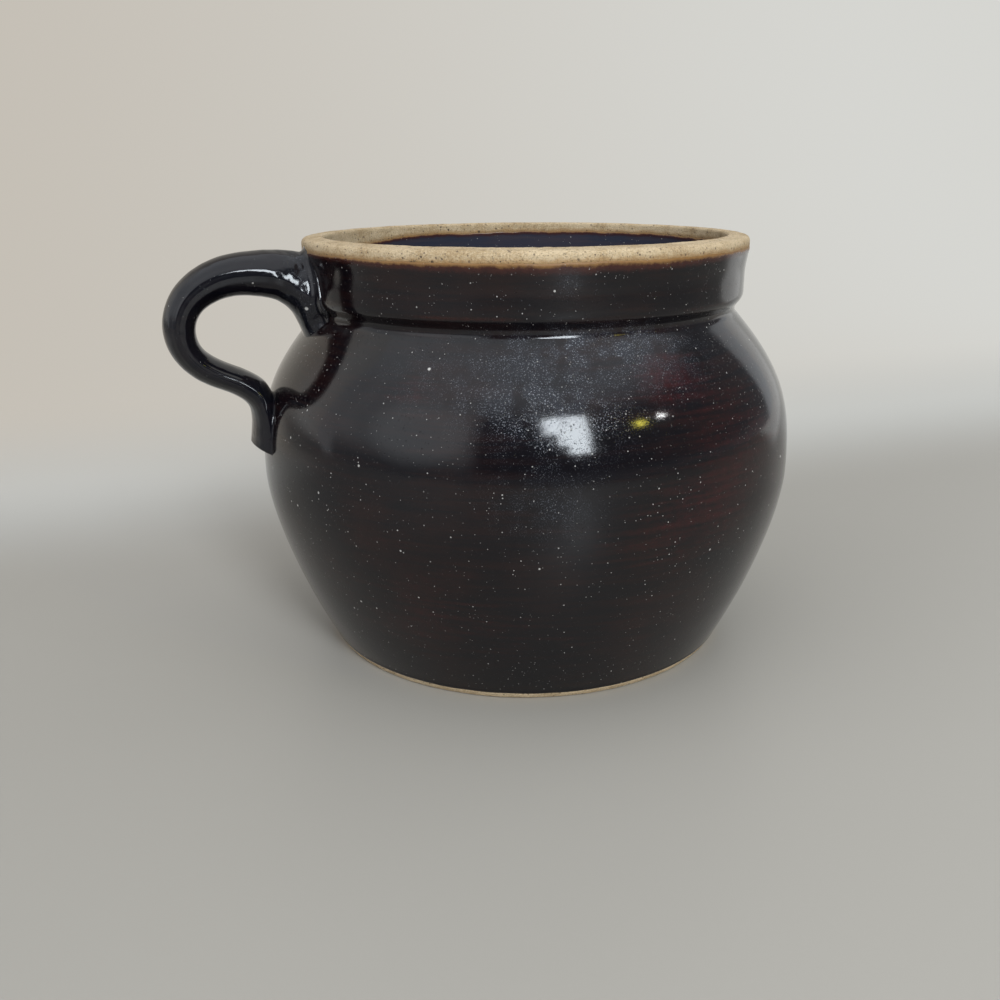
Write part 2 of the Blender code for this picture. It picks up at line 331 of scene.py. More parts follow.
def piece(name, node, rows, ring, marks, finish):
    # rows is an array (row, column, xyz) whose columns go round. A ring joins its last row to its
    # first. Otherwise each end row is one point, and a fan of triangles closes it. marks are numbers
    # on the same rows, for the finish to read.
    rowCount, columns = rows.shape[:2]
    column = np.arange(columns)
    after = (column + 1) % columns
    if ring:
        points = rows.reshape(-1, 3)
        near = np.arange(rowCount)[:, None] * columns
        far = (np.arange(rowCount)[:, None] + 1) % rowCount * columns
        fans = np.zeros((0, 3), int)
        values = {key: mark.reshape(-1) for key, mark in marks.items()}
    else:
        points = np.concatenate([rows[0, :1], rows[1:-1].reshape(-1, 3), rows[-1, :1]])
        near = 1 + np.arange(rowCount - 3)[:, None] * columns
        far = near + columns
        last = 1 + (rowCount - 3) * columns
        fans = np.concatenate([
            np.stack([0 * column, 1 + after, 1 + column], axis=-1),
            np.stack([0 * column + len(points) - 1, last + column, last + after], axis=-1)])
        values = {key: np.concatenate([mark[0, :1], mark[1:-1].reshape(-1), mark[-1, :1]])
                  for key, mark in marks.items()}
    quads = np.stack([near + column, near + after, far + after, far + column], axis=-1).reshape(-1, 4)
    a, b, c, d = (points[quads[:, index]] for index in range(4))
    if np.sum(np.cross(b - a, c - a) * a) + np.sum(np.cross(c - a, d - a) * a) < 0:
        quads, fans = quads[:, ::-1], fans[:, ::-1]         # the volume shows which way faces point
    made = addMesh(name, points, quads.tolist() + fans.tolist(), finish)
    for key, value in values.items():
        made.data.attributes.new(key, 'FLOAT', 'POINT').data.foreach_set("value", value.astype(np.float32))
    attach(made, "root")
    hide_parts(node)
    print(f"{name}: {len(points)} points, {2 * len(quads) + len(fans)} triangles")


# Shader maths: a value wraps a socket, and an expression on values adds Math nodes

class Value:
    def __init__(self, finish, socket):
        self.finish = finish
        self.socket = socket

    def __add__(self, other):
        return self.finish.maths('ADD', self, other)

    def __radd__(self, other):
        return self.finish.maths('ADD', other, self)

    def __sub__(self, other):
        return self.finish.maths('SUBTRACT', self, other)

    def __rsub__(self, other):
        return self.finish.maths('SUBTRACT', other, self)

    def __mul__(self, other):
        return self.finish.maths('MULTIPLY', self, other)

    def __rmul__(self, other):
        return self.finish.maths('MULTIPLY', other, self)

    def output(self, name):
        # another output of the same node
        return Value(self.finish, self.socket.node.outputs[name])


class Finish:
    # The node tree of a material or of the world

    def __init__(self, owner):
        owner.use_nodes = True
        self.owner = owner
        self.tree = owner.node_tree
        self.tree.nodes.clear()
        self.place = self.node('ShaderNodeTexCoord', {}, {}).output("Object")

    def node(self, kind, settings, inputs, output=0):
        # Adds a node of any type: its settings, then a value or a link for each of its inputs
        made = self.tree.nodes.new(kind)
        for key, value in settings.items():
            setattr(made, key, value)
        for key, value in inputs.items():
            if isinstance(value, Value):
                self.tree.links.new(value.socket, made.inputs[key])
            elif isinstance(value, tuple) and made.inputs[key].type == 'RGBA':
                made.inputs[key].default_value = (*value, 1)
            else:
                made.inputs[key].default_value = value
        return Value(self, made.outputs[output]) if len(made.outputs) else None

    def maths(self, operation, a, b):
        return self.node('ShaderNodeMath', {"operation": operation}, {0: a, 1: b})

    def most(self, a, b):
        return self.maths('MAXIMUM', a, b)

    def between(self, value, low, high):
        # 0 at low, 1 at high, smooth between
        return self.node('ShaderNodeMapRange', {"interpolation_type": 'SMOOTHSTEP'},
                         {"Value": value, "From Min": low, "From Max": high})

    def blend(self, share, one, other):
        # Two colours mixed, with so much of the other
        return self.node('ShaderNodeMix', {"data_type": 'RGBA'}, {0: share, 6: one, 7: other}, 2)

    def axis(self, name):
        return self.node('ShaderNodeSeparateXYZ', {}, {0: self.place}).output(name)

    def mark(self, name):
        return self.node('ShaderNodeAttribute', {"attribute_name": name}, {}).output("Fac")

    def cloud(self, scale, detail, rough=0.5, where=None):
        # Noise around 0.5, with about so many patches to a metre
        vector = where or self.place
        return self.node('ShaderNodeTexNoise', {},
                         {"Vector": vector, "Scale": scale, "Detail": detail, "Roughness": rough})

    def dots(self, scale, radius, share, shift):
        # Round specks of unlike sizes, one at most in a cell: 1 inside one and 0 outside. Only that
        # share of the cells has one, and scale is the cells to a metre.
        place = (shift, 2 * shift, shift)
        shifted = self.node('ShaderNodeMapping', {}, {"Vector": self.place, "Location": place})
        cell = self.node('ShaderNodeTexVoronoi', {}, {"Vector": shifted, "Scale": scale})
        chance = self.node('ShaderNodeSeparateColor', {}, {"Color": cell.output("Color")})
        size = radius * scale * (0.35 + 0.65 * chance * chance)
        kept = self.maths('LESS_THAN', chance.output("Green"), share)
        return self.between(cell, size, size * 0.55) * kept

    def bump(self, height, distance, under=None):
        # On top of the bump under it, if there is one
        inputs = {"Height": height, "Distance": distance}
        if under:
            inputs["Normal"] = under
        return self.node('ShaderNodeBump', {}, inputs)

    def shade(self, inputs):
        # Ends a material in one Principled shader
        shader = self.node('ShaderNodeBsdfPrincipled', {}, inputs)
        self.node('ShaderNodeOutputMaterial', {}, {"Surface": shader})
        return self.owner


# Bare stoneware

clay = {
    "pale": (0.59, 0.455, 0.29),
    "deep": (0.38, 0.26, 0.135),
    "toasted": (0.34, 0.195, 0.075),    # beside a glaze line of the lip
    "pepper": (0.070, 0.044, 0.028),
    "chalk": (0.76, 0.68, 0.54),        # pale sand
    "roughness": 0.78,
    "ior": 1.45,
    # specks: cells to a metre, largest radius, share of the cells that have one, shift
    "pepperDots": (820, 0.48 * mm, 0.80, 0.0),
    "largePepperDots": (420, 0.66 * mm, 0.50, 0.11),
    "columns": 820,
    "tooth": 0.050 * mm,                # height of the grain in the mesh
    "lumps": 0.070 * mm,
    "pits": 0.25 * mm,
    "settle": 1.3 * mm,                 # length over which the clay sinks to its seat under a coat
    "footSettle": 0.7 * mm,
}


def bareClay():
    finish = Finish(bpy.data.materials.new("bare_stoneware"))
    edge = finish.mark("glazeLine")                     # millimetres from the nearest glaze line
    patch = finish.cloud(140, 3)                        # cloudy patches
    fine = finish.cloud(1700, 4, 0.75)                  # the clay's own grain
    sand = finish.cloud(3600, 2, 0.6)
    grit = finish.between(finish.cloud(2500, 3, 0.7), 0.55, 0.67)
    body = finish.blend(finish.between(0.4 * patch + 0.6 * fine, 0.36, 0.58), clay["deep"], clay["pale"])
    # toasted beside the glaze lines of the lip, and not at the foot
    ragged = edge + 1.8 * (finish.cloud(520, 3, 0.6) - 0.5)
    toast = finish.between(ragged, 1.3, 0.0) * finish.between(finish.axis("Z"), 20 * mm, 30 * mm)
    body = finish.blend(toast * 0.75, body, clay["toasted"])
    body = finish.blend(finish.between(sand, 0.60, 0.74) * 0.35, body, clay["chalk"])
    pepper = finish.dots(*clay["pepperDots"])
    largePepper = finish.dots(*clay["largePepperDots"])
    dark = finish.most(finish.most(pepper * 0.7, largePepper * 0.9), grit * 0.45)
    body = finish.blend(dark, body, clay["pepper"])
    tooth = finish.bump(fine, 0.22 * mm)
    tooth = finish.bump(sand, 0.08 * mm, tooth)
    tooth = finish.bump(1 - dark, 0.16 * mm, tooth)
    rough = clay["roughness"] - 0.25 * dark + 0.12 * (fine - 0.5)
    return finish.shade({"Base Color": body, "Roughness": rough, "Normal": tooth, "IOR": clay["ior"]})


# Slip glaze, for both coats and the handle

glaze = {
    "black": (0.0036, 0.0028, 0.0042),
    "brown": (0.0108, 0.0046, 0.0046),
    # inside colours: the same glaze, with a lighter, bluer base that is partly painted reflection of the
    # room in the hollow
    "insideBlackAndReflection": (0.030, 0.033, 0.050),
    "insideBrownAndReflection": (0.044, 0.038, 0.050),
    "handleBlack": (0.0040, 0.0042, 0.0068),
    "handleBrown": (0.0080, 0.0062, 0.0085),
    "oxblood": (0.046, 0.0060, 0.0080),
    "maroon": (0.052, 0.014, 0.010),    # where the coat runs thin beside its edge or over a ridge
    "amber": (0.225, 0.115, 0.036),     # at its edge on the bare clay
    "speck": (0.52, 0.50, 0.47),
    # Painted highlight: a pale sheen and pale glint flecks, laid in the frost patches where the main lamp's
    # highlight falls
    "paintedSheen": (0.020, 0.023, 0.032),      # painted sheen, under the painted glints
    "frostAndGlint": (0.26, 0.27, 0.30),
    # pale dust: cells to a metre, largest radius, share of the cells that have one, shift, strength
    "dust": [(900, 0.20 * mm, 0.55, 0.05, 0.35), (640, 0.28 * mm, 0.45, 0.17, 0.6),
             (210, 0.52 * mm, 0.36, 0.23, 0.75), (74, 0.85 * mm, 0.60, 0.41, 0.9)],
    "pinholeDots": (1150, 0.30 * mm),
    "streakScale": (40, 40, 800),       # wheel streaks: patches to a metre along x, y and z
    "roughness": 0.065,
    "ior": 1.42,
    "thickness": 0.5 * mm,
    "proud": 0.05 * mm,                 # how far it stands off the line of the bare clay
    "bead": 0.10 * mm,                  # the roll along its edge, on top of that
    "beadPlace": 1.0 * mm,              # from the edge
    "beadWidth": 0.6 * mm,
    "buried": 0.38 * mm,                # how deep its edge starts below the clay
    "climb": 0.55 * mm,                 # length over which the edge comes up
    "lead": 0.22 * mm,                  # how far past its line a coat starts, under the clay
    "footLead": 0.11 * mm,
    "seatDepth": 0.62 * mm,             # how far the clay under it lies inside the clay's line
    "backGap": 0.05 * mm,               # least gap between a coat's back and that sunk clay
    "backInset": 0.3 * mm,              # how far inside its edge a coat's back starts
    "wheelMarks": 0.026 * mm,
    "outsideWander": 0.42 * mm,         # how far each of its lines strays
    "insideWander": 0.60 * mm,
    "footWander": 0.20 * mm,
    "insideDip": 3.2 * mm,              # how much lower the inside line lies near the handle
    "dipTurn": 145.0,                   # its direction in degrees from +X, and its spread
    "dipSpread": 24.0,
}


def slipGlaze(name, black, brown, redness, specks, pinholes):
    finish = Finish(bpy.data.materials.new(name))
    edge = finish.mark("glazeLine")                     # millimetres from the edge of the coat
    # frost patches with a painted sheen and painted glints, streaks left by the wheel, ruddy patches and a
    # fine mottle
    bloomAndSheen = finish.mark("frostAndGlint") * finish.between(finish.cloud(190, 3), 0.30, 0.62)
    streaks = finish.node('ShaderNodeMapping', {}, {"Vector": finish.place, "Scale": glaze["streakScale"]})
    streak = finish.cloud(1, 4, 0.6, streaks)
    patch = finish.cloud(30, 4, 0.55)
    mottle = finish.cloud(560, 4, 0.65)
    body = finish.blend(finish.between(patch * 0.6 + streak * 0.6, 0.50, 0.76), black, brown)
    ruddy = finish.mark("ruddy") + 0.6 * (patch - 0.5) + 0.9 * (streak - 0.5) + 0.8 * (mottle - 0.5)
    body = finish.blend(finish.between(ruddy, 0.25, 1.25) * redness, body, glaze["oxblood"])
    thin = finish.between(finish.mark("thin") + 0.6 * (mottle - 0.5), 0.30, 1.0)
    body = finish.blend(thin * 0.6, body, glaze["maroon"])
    ragged = edge + 0.9 * (finish.cloud(700, 3, 0.6) - 0.5) + 0.6 * (finish.cloud(130, 2) - 0.5)
    fringe = finish.between(ragged, 2.1, 0.7)
    body = finish.blend(fringe * 0.85, body, glaze["maroon"])
    rim = finish.between(ragged, 0.95, 0.25)
    body = finish.blend(rim, body, glaze["amber"])
    # painted sheen and painted glints in the frost patches; the flecks also roughen and pit the glaze
    body = finish.blend(bloomAndSheen * 0.5, body, glaze["paintedSheen"])
    roughGlintFlecks = bloomAndSheen * finish.between(finish.cloud(2700, 2, 0.7), 0.58, 0.68)
    body = finish.blend(roughGlintFlecks * 0.9, body, glaze["frostAndGlint"])
    dust = 0
    for scale, radius, share, shift, strength in glaze["dust"]:
        dust = finish.most(dust, finish.dots(scale, radius, share * specks, shift) * strength)
    body = finish.blend(dust, body, glaze["speck"])
    rough = glaze["roughness"] + 0.05 * mottle + 0.22 * roughGlintFlecks + 0.30 * rim + 0.22 * dust + 0.10 * fringe
    pits = finish.dots(*glaze["pinholeDots"], pinholes, 0.67)
    peel = finish.bump(finish.cloud(420, 2), 0.014 * mm)
    peel = finish.bump(finish.cloud(3000, 2, 0.6), 0.007 * mm, peel)
    peel = finish.bump(1 - pits - 0.6 * roughGlintFlecks, 0.04 * mm, peel)
    peel = finish.bump(dust, 0.05 * mm, peel)
    peel = finish.bump(finish.cloud(1500, 3, 0.6) * rim, 0.09 * mm, peel)
    return finish.shade({"Base Color": body, "Roughness": rough, "Normal": peel, "IOR": glaze["ior"]})


# Where each glaze line lies round the pot, as a length along the wall's line

def insideEdge(angle):
    level = wallLine.where(pot["height"] - pot["bareInside"], wallLine.inside)
    dip = glaze["insideDip"] * bell(turnFrom(angle, glaze["dipTurn"]), 0, glaze["dipSpread"])
    return level - dip + glaze["insideWander"] * lineWaves(angle, pot["collarRadius"], 11)


def outsideEdge(angle):
    level = wallLine.where(pot["height"] - pot["bareOutside"], wallLine.outside)
    return level + glaze["outsideWander"] * lineWaves(angle, pot["collarRadius"], 3)


def footEdge(angle):
    level = wallLine.where(pot["bareFoot"], wallLine.outside)
    return level + glaze["footWander"] * lineWaves(angle, pot["footRadius"], 7)


# Clay body: the whole pot as one turned skin, bare at the lip and foot and sunk under the coats

def makeBody():
    angle = roundTurn(clay["columns"])
    edgeIn, edgeOut, edgeFoot = insideEdge(angle), outsideEdge(angle), footEdge(angle)
    settle, footSettle = clay["settle"], clay["footSettle"]
    end = wallLine.end
    length = evenRows(0 * angle, [
        (end["floor"], 2), (end["floorCorner"], 6), (edgeIn - settle, 14), (edgeIn, 5), (end["hollow"], 12),
        (end["lipTop"], 13), (edgeOut, 16), (edgeOut + settle, 5), (end["collar"], 3), (end["tuck"], 6),
        (end["groove"], 8), (edgeFoot - footSettle, 14), (edgeFoot, 4), (end["footBevel"], 6),
        (end["underside"], 5)])
    # 1 where a coat lies over the clay, 0 where it is bare
    covered = ease(edgeIn - length, 0, settle)
    covered = covered + ease(length - edgeOut, 0, settle) * ease(edgeFoot - length, 0, footSettle)
    flat = turned(length, 0, angle)
    tooth = clay["tooth"] * (grain(flat, 1.2 * mm, 21) + 0.7 * grain(flat, 2.1 * mm, 22))
    lumps = clay["lumps"] * grain(flat, 7 * mm, 23)
    pits = clay["pits"] * np.maximum(grain(flat, 1.7 * mm, 24) - 0.62, 0)
    upright = 1 - ease(length, end["footBevel"] - mm, end["footBevel"])     # the foot itself stays flat
    rise = (tooth + lumps - pits) * upright * (1 - covered) - glaze["seatDepth"] * covered
    # distance of bare clay from the nearest glaze line, and 0 under a coat
    away = np.where(length < edgeIn, 0, np.minimum(length - edgeIn, np.abs(length - edgeOut)))
    away = np.where(length > edgeOut, np.maximum(length - edgeFoot, 0), away)
    marks = {"glazeLine": np.clip(away / mm, 0, 20)}
    points = handThrown(turned(length, rise, angle))
    piece("thrown_clay_body", "crock_body", points, False, marks, bareClay())


# Glaze coats

def coatRise(fromEdge, faceRows):
    # Height of a coat over the clay's line, by distance from the coat's edge: it comes up out of
    # the clay, rolls over a bead and runs on level. Rows past faceRows are its back.
    up = ease(fromEdge, -glaze["lead"], glaze["climb"])
    bead = glaze["bead"] * bell(fromEdge, glaze["beadPlace"], glaze["beadWidth"])
    rise = -glaze["buried"] * (1 - up) + (glaze["proud"] + bead) * up
    deepest = glaze["backGap"] - glaze["seatDepth"]
    rise[faceRows:] = np.maximum(rise[faceRows:] - glaze["thickness"], deepest)
    return rise


outsideCoat = {
    "columns": 620,
    "edgeBand": 3.2 * mm,               # band of crowded rows along its upper edge
    "footBand": 2.4 * mm,
    "frontFringe": 0.9,                 # how much wider the coloured fringe is at the front
    "frontTurn": -95.0,
    "frontSpread": 45.0,
    "thinRidge": 0.9 * mm,              # spread of the thin glaze over the collar's lower edge
    "thinBelly": 7 * mm,                # and of the thin glaze low on the belly, round this height
    "thinHeight": 8 * mm,
    # each patch: angle from +X, height in mm, spreads of both, strength
    "ruddy": [(-79, 99, 10, 8, 0.7), (-80, 60, 20, 16, 0.45), (-62, 80, 20, 18, 0.4),
              (-134, 95, 8, 6, 0.45), (-112, 26, 45, 14, 0.3), (-150, 45, 40, 20, 0.25),
              (10, 52, 42, 20, 0.5), (120, 60, 50, 25, 0.5)],
    # frost patches sit round the main lamp's highlight on the shoulder and along the neck groove: rougher,
    # pitted glaze with painted glints and sheen
    "frostAndGlint": [(-105, 93, 12, 10, 1.0), (-94, 107.5, 17, 4, 1.5), (-106, 68, 8, 8, 0.35),
              (-101, 124, 3, 3.5, 0.4), (-119, 99, 18, 8, 0.4), (-80, 101, 12, 6, 0.5)],
}


def patches(angle, height, places):
    # Soft patches round the wall, each a bell in angle and height
    total = 0
    for turn, middle, wide, tall, strength in places:
        off = turnFrom(angle, turn)
        total = total + strength * bell(off, 0, wide) * bell(height, middle * mm, tall * mm)
    return total


def makeOutsideCoat():
    # A ring of rows round the coat: down its face from the lip to the foot, and up again behind it
    form = outsideCoat
    angle = roundTurn(form["columns"])
    end = wallLine.end
    first, last = outsideEdge(angle) - glaze["lead"], footEdge(angle) + glaze["footLead"]
    face = evenRows(first, [(first + form["edgeBand"], 12), (end["collar"], 12), (end["tuck"], 8),
                            (end["groove"], 10), (last - form["footBand"], 72), (last, 10)])
    back = evenRows(last - glaze["backInset"], [(end["groove"], 12), (end["tuck"], 5), (end["collar"], 4),
                                                (first + glaze["backInset"], 3)])
    length = np.concatenate([face, back])
    fromTop, fromFoot = length - outsideEdge(angle), footEdge(angle) - length
    fromEdge = np.minimum(fromTop, fromFoot)
    flat = turned(length, 0, angle)
    rise = coatRise(fromEdge, len(face))
    rise = rise + glaze["wheelMarks"] * wheelMarks(flat, 31) * ease(fromEdge, 0, 4 * mm)
    # the coloured fringe is widest at the front and thin along the foot
    wider = 1 + form["frontFringe"] * bell(turnFrom(angle, form["frontTurn"]), 0, form["frontSpread"])
    worn = np.clip(0.5 + grain(flat, 7 * mm, 33, (2, 2, 1)), 0, 1)
    low = wallLine.where(form["thinHeight"], wallLine.outside)
    thin = 0.7 * worn * bell(length, end["collar"] + mm, form["thinRidge"])
    thin = thin + 0.2 * bell(length, low, form["thinBelly"])
    marks = {"glazeLine": np.clip(np.minimum(fromTop / wider, 2.5 * fromFoot) / mm, 0, 20),
             "thin": thin,
             "ruddy": patches(angle, flat[..., 2], form["ruddy"]),
             "frostAndGlint": patches(angle, flat[..., 2], form["frostAndGlint"])}
    points = handThrown(turned(length, rise, angle))
    finish = slipGlaze("outside_slip_glaze", glaze["black"], glaze["brown"],
                       redness=0.8, specks=1.0, pinholes=0.55)
    piece("outside_slip_coat", "outside_glaze", points, True, marks, finish)


insideCoat = {"columns": 600, "edgeBand": 3.0 * mm}


def makeInsideCoat():
    # Rows from the middle of the floor up to the edge below the lip, and down again behind it
    form = insideCoat
    angle = roundTurn(form["columns"])
    end = wallLine.end
    last = insideEdge(angle) + glaze["lead"]
    face = evenRows(0 * angle, [(end["floor"], 10), (end["floorCorner"], 14), (last - form["edgeBand"], 46),
                                (last, 12)])
    back = evenRows(last - glaze["backInset"], [(end["floorCorner"], 16), (end["floor"], 8),
                                                (0 * angle, 3)])
    length = np.concatenate([face, back])
    fromEdge = insideEdge(angle) - length
    flat = turned(length, 0, angle)
    # the rings fade out towards the coat's edge and the middle of the floor
    rings = wheelMarks(flat, 41) * ease(fromEdge, 0, 6 * mm) * ease(length, 0, 20 * mm)
    rise = coatRise(fromEdge, len(face)) + 2.5 * glaze["wheelMarks"] * rings
    marks = {"glazeLine": np.clip(fromEdge / mm, 0, 20), "thin": 0 * length, "ruddy": 0 * length + 0.1,
             "frostAndGlint": 0 * length}
    points = handThrown(turned(length, rise, angle))
    # the inside coat's lighter navy base is partly painted reflection
    finish = slipGlaze("inside_slip_glaze", glaze["insideBlackAndReflection"], glaze["insideBrownAndReflection"],
                       redness=0.3, specks=0.6, pinholes=0.2)
    piece("inside_slip_coat", "inside_glaze", points, False, marks, finish)


# Pulled handle

strap = {
    # in mm: radius and height of the outer face, the same of the inner face, width, ridge along the
    # outer and the inner edge, lumps, and the fillet where the strap meets the wall
    "knots": [(66.5, 129.0, 66.5, 101.5, 20.5, 0.00, 0.00, 0.20, 3.2),
              (69.6, 129.1, 69.8, 102.0, 20.2, 0.00, 0.00, 0.30, 3.2),
              (72.4, 129.2, 72.8, 103.6, 19.4, 0.00, 0.00, 0.36, 3.2),
              (75.0, 129.5, 74.7, 107.2, 18.5, 0.04, 0.03, 0.34, 3.0),
              (77.7, 129.8, 76.6, 111.0, 17.8, 0.10, 0.06, 0.26, 2.4),
              (82.6, 130.0, 81.1, 114.9, 16.9, 0.22, 0.09, 0.15, 1.6),
              (90.9, 129.6, 88.6, 116.6, 16.3, 0.32, 0.15, 0.07, 1.0),
              (100.8, 127.1, 95.9, 116.2, 15.9, 0.34, 0.22, 0.06, 1.0),
              (110.0, 120.3, 103.0, 112.4, 15.8, 0.34, 0.32, 0.06, 1.0),
              (114.6, 110.0, 105.3, 106.2, 15.8, 0.31, 0.40, 0.06, 1.0),
              (112.6, 99.0, 103.3, 100.8, 15.8, 0.22, 0.48, 0.06, 1.0),
              (105.1, 91.3, 98.2, 97.1, 16.1, 0.12, 0.54, 0.07, 1.0),
              (97.3, 87.5, 92.9, 94.6, 17.0, 0.07, 0.52, 0.07, 0.9),
              (92.6, 83.9, 88.0, 91.5, 18.7, 0.04, 0.38, 0.09, 0.8),
              (91.4, 80.3, 85.2, 88.0, 20.2, 0.02, 0.26, 0.11, 0.8),
              (91.5, 76.8, 83.2, 81.5, 21.3, 0.00, 0.10, 0.12, 0.8),
              (91.9, 73.9, 82.8, 73.6, 22.0, 0.00, 0.03, 0.13, 0.8),
              (92.3, 71.2, 82.8, 67.0, 22.4, 0.00, 0.00, 0.14, 0.8)],
    "steps": 24,                      # fine steps in each stretch between knots
    "rootLength": 12 * mm,            # this first length has rows of its own
    "rootRows": 120,
    "rows": 270,
    "columns": 144,
    "edgeRows": 7,
    "capRows": 12,
    "endRound": 0.55 * mm,
    "sharpness": 1.25,                # 1 gives an oval section, more draws its edges to a ridge
    "ridgeAngle": 22.0,               # degrees of the section from its widest point to each ridge
    "ridgeWidth": 9.0,
    "filletAbove": 0.6,               # share of the fillet on the outer face
    "pulling": 0.035 * mm,            # height of the pulling marks
    "knuckle": (-74.5 * mm, -9.5 * mm, 118.4 * mm),     # a lump pressed up where the root was luted on
    "knuckleHeight": 0.6 * mm,
    "knuckleWidth": 2.0 * mm,
}


def strapStations():
    # Natural cubic spline through the knots, in every column, with lengths along its middle
    knots = np.array(strap["knots"]) * mm
    free = len(knots) - 2
    bends = np.zeros_like(knots)
    bends[1:-1] = np.linalg.solve(4 * np.eye(free) + np.eye(free, k=1) + np.eye(free, k=-1),
                                  6 * np.diff(knots, 2, axis=0))
    t = (np.arange(strap["steps"]) / strap["steps"])[None, :, None]
    s = 1 - t
    fine = knots[:-1, None] * s + knots[1:, None] * t
    fine = fine + ((s ** 3 - s) * bends[:-1, None] + (t ** 3 - t) * bends[1:, None]) / 6
    fine = np.concatenate([fine.reshape(-1, knots.shape[1]), knots[-1:]])
    steps = np.linalg.norm(np.diff(fine[:, :2] + fine[:, 2:4], axis=0), axis=1) / 2
    return np.concatenate([[0], np.cumsum(steps)]), fine


def makeHandle():
    # Each row is a section of the strap: cos of the phase across, a sharpened sin of it outwards,
    # grown by ridges, lumps, pulling marks, the fillet at the wall and the knuckle
    lengths, fine = strapStations()
    whole, turn = lengths[-1], strap["endRound"]
    # rows: a point inside the collar, the strap, the cut end's rounded edge, then its flat face
    # drawn in to its middle
    body = np.concatenate([np.linspace(0, strap["rootLength"], strap["rootRows"])[:-1],
                           np.linspace(strap["rootLength"], whole - turn, strap["rows"])])
    quarter = np.linspace(0, math.pi / 2, strap["edgeRows"])[1:]
    inward = np.linspace(0, 1, strap["capRows"])[1:]
    place = np.concatenate([[0], body, whole - turn + turn * np.sin(quarter), 0 * inward + whole])
    inset = np.concatenate([[0], 0 * body, turn * (1 - np.cos(quarter)), 0 * inward + turn])[:, None]
    shrink = np.concatenate([[0], 0 * body + 1, 0 * quarter + 1, 1 - inward])[:, None]
    outRadius, outHeight, inRadius, inHeight, width, outerRidge, innerRidge, lumps, fillet = (
        np.interp(place, lengths, column)[:, None] for column in fine.T)
    depth = np.hypot(outRadius - inRadius, outHeight - inHeight)
    phase = roundTurn(strap["columns"])
    rise = np.sign(np.sin(phase)) * np.abs(np.sin(phase)) ** strap["sharpness"]
    side = np.cos(phase)

    def section(grow):
        # Section points: from the middle, out by the rise and across by the side
        halfDepth, halfWidth = (depth / 2 - inset + grow) * shrink, (width / 2 - inset + grow) * shrink
        off = 0.5 + rise * halfDepth / depth
        return np.stack([-(inRadius + (outRadius - inRadius) * off), side * halfWidth,
                         inHeight + (outHeight - inHeight) * off], axis=-1)

    plain = section(0)
    degrees = np.degrees(phase)
    tilt = strap["ridgeAngle"]
    ridge = 0
    for middle, amount in ((tilt, outerRidge), (180 - tilt, outerRidge), (180 + tilt, innerRidge),
                           (360 - tilt, innerRidge)):
        ridge = ridge + np.maximum(amount, 0) * bell(degrees, middle, strap["ridgeWidth"])
    rough = lumps * (0.7 * grain(plain, 6 * mm, 51) + 0.45 * grain(plain, 2.8 * mm, 52)
                     + 0.2 * grain(plain, 1.4 * mm, 53) + 0.2 * grain(plain, 1.5 * mm, 54, (1, 4, 1.5)))
    # pulling marks: noise that changes round the section and hardly along it
    unrolled = np.stack(np.broadcast_arrays(place[:, None] * 0.03, side * 9 * mm, rise * 9 * mm), axis=-1)
    pulled = strap["pulling"] * grain(unrolled, 1.6 * mm, 55)
    reach = np.hypot(plain[..., 0], plain[..., 1])
    beside = wallLine.where(plain[..., 2], wallLine.outside)
    wall = wallLine.at(beside)[0]
    gap = (reach - wall) * (wallLine.at(beside, 1)[0] - wall)
    # fillet: nothing at its radius from the wall, and its whole radius at the wall
    fillet = fillet * (1 - (1 - strap["filletAbove"]) * np.clip(rise, 0, 1))
    near = np.clip(1 - gap / fillet, 0, 1)
    flare = 0.5 * fillet * (near ** 2 + near ** 4)
    fromKnuckle = np.linalg.norm(plain - np.array(strap["knuckle"]), axis=-1)
    knuckle = strap["knuckleHeight"] * bell(fromKnuckle, 0, strap["knuckleWidth"])
    points = handThrown(section((ridge + rough + pulled + flare + knuckle) * (shrink > 0.999)))
    # the frost mark on the root's lumps gives painted glints there, as well as rougher glaze
    marks = {"glazeLine": 0 * reach + 20, "thin": np.clip(ridge / (0.6 * mm), 0, 1) * 0.35 + 0 * reach,
             "ruddy": 0 * reach + 0.1, "frostAndGlint": np.clip(lumps / (0.6 * mm) - 0.25, 0, 1) * 0.8 + 0 * reach}
    finish = slipGlaze("handle_slip_glaze", glaze["handleBlack"], glaze["handleBrown"],
                       redness=0.35, specks=0.2, pinholes=0.30)
    piece("pulled_handle", "handle", points, False, marks, finish)


makeBody()
makeOutsideCoat()
makeInsideCoat()
makeHandle()
print("pieces made")


# Floor, backdrop, lamps and camera

